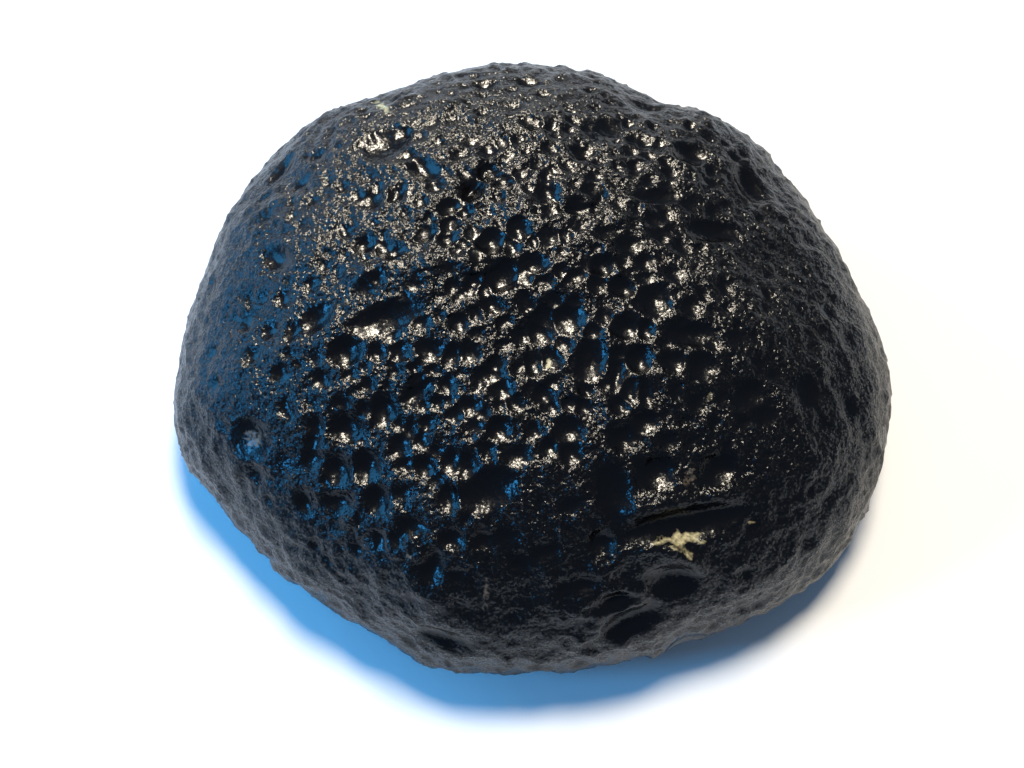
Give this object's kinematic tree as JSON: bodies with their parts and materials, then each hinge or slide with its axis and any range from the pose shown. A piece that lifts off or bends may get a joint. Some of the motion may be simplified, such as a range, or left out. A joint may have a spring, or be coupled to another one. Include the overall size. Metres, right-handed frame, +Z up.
{
  "type": "tektite",
  "caption": "Flattened lump of black natural glass, covered with round pits and short gouges, resting on its flat underside.",
  "frame": {"origin": "middle of the flat that the stone rests on, under the middle of its box", "axes": "+X along the stone's length, toward its blunter end; +Y across it; +Z up through its thickness"},
  "size_m": [0.0706, 0.0631, 0.0256],
  "materials": {
    "tektite_glass": "black natural glass, glossy and finely pitted"
  },
  "bodies": {
    "root": {"tektite": "tektite_glass"}
  },
  "joints": []
}
